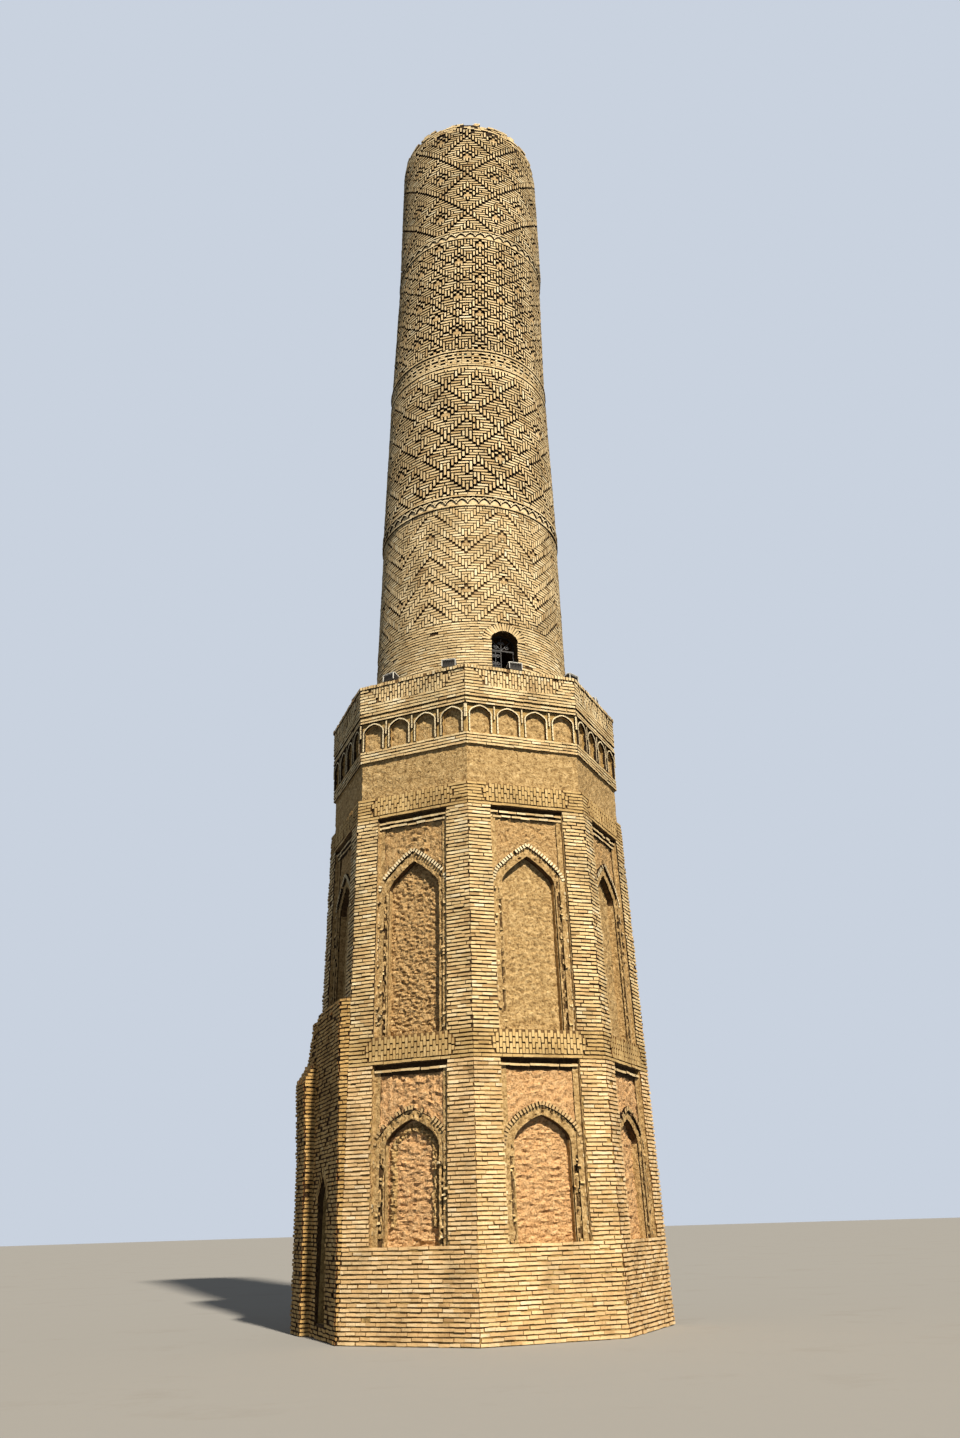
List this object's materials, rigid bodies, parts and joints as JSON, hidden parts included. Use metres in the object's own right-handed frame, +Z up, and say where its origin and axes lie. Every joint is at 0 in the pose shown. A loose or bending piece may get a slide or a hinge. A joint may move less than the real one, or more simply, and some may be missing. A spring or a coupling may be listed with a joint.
{
  "type": "minaret",
  "caption": "Free-standing brick minaret: battered octagonal base with tiers of arched niches, parapeted gallery, and a tall tapering round shaft with patterned brick zones.",
  "frame": {"origin": "on the ground, under the middle of the octagonal base", "axes": "+Z up, -Y out of the gallery door's side, +X to the right seen from that side"},
  "size_m": [8.0546, 7.7292, 36.348],
  "materials": {
    "brick": "rough fired brick in lime mortar",
    "pale_brick": "rough pale fired brick in deep relief",
    "plaster": "rough lime and straw plaster",
    "iron": "black painted wrought iron",
    "lamp": "grey painted lamp housings"
  },
  "bodies": {
    "root": {"plinth": "brick", "lower_tier": "brick", "middle_band": "brick", "upper_tier": "brick", "top_band": "brick", "niche_lower_0": "pale_brick", "niche_lower_1": "pale_brick", "niche_lower_2": "pale_brick", "niche_lower_3": "pale_brick", "niche_lower_4": "pale_brick", "niche_lower_5": "pale_brick", "niche_lower_7": "pale_brick", "niche_upper_0": "pale_brick", "niche_upper_1": "pale_brick", "niche_upper_2": "pale_brick", "niche_upper_3": "pale_brick", "niche_upper_4": "pale_brick", "niche_upper_5": "pale_brick", "niche_upper_6": "pale_brick", "niche_upper_7": "pale_brick", "entrance_facing": "brick", "corner_buttress": "brick", "plaster_collar": "plaster", "gallery_base": "brick", "parapet": "brick", "coping": "brick", "shaft_foot": "brick", "shaft_zone_4": "pale_brick", "shaft_band_3": "pale_brick", "shaft_zone_3": "pale_brick", "shaft_band_2": "pale_brick", "shaft_zone_2": "pale_brick", "shaft_band_1": "pale_brick", "shaft_zone_1": "pale_brick", "door_frame": "iron", "door_leaf": "iron", "floodlight_1": "lamp", "floodlight_2": "lamp", "floodlight_3": "lamp", "floodlight_4": "lamp", "floodlight_5": "lamp", "floodlight_6": "lamp", "floodlight_7": "lamp", "floodlight_8": "lamp", "floodlight_9": "lamp", "floodlight_10": "lamp", "floodlight_11": "lamp", "floodlight_12": "lamp"}
  },
  "joints": []
}
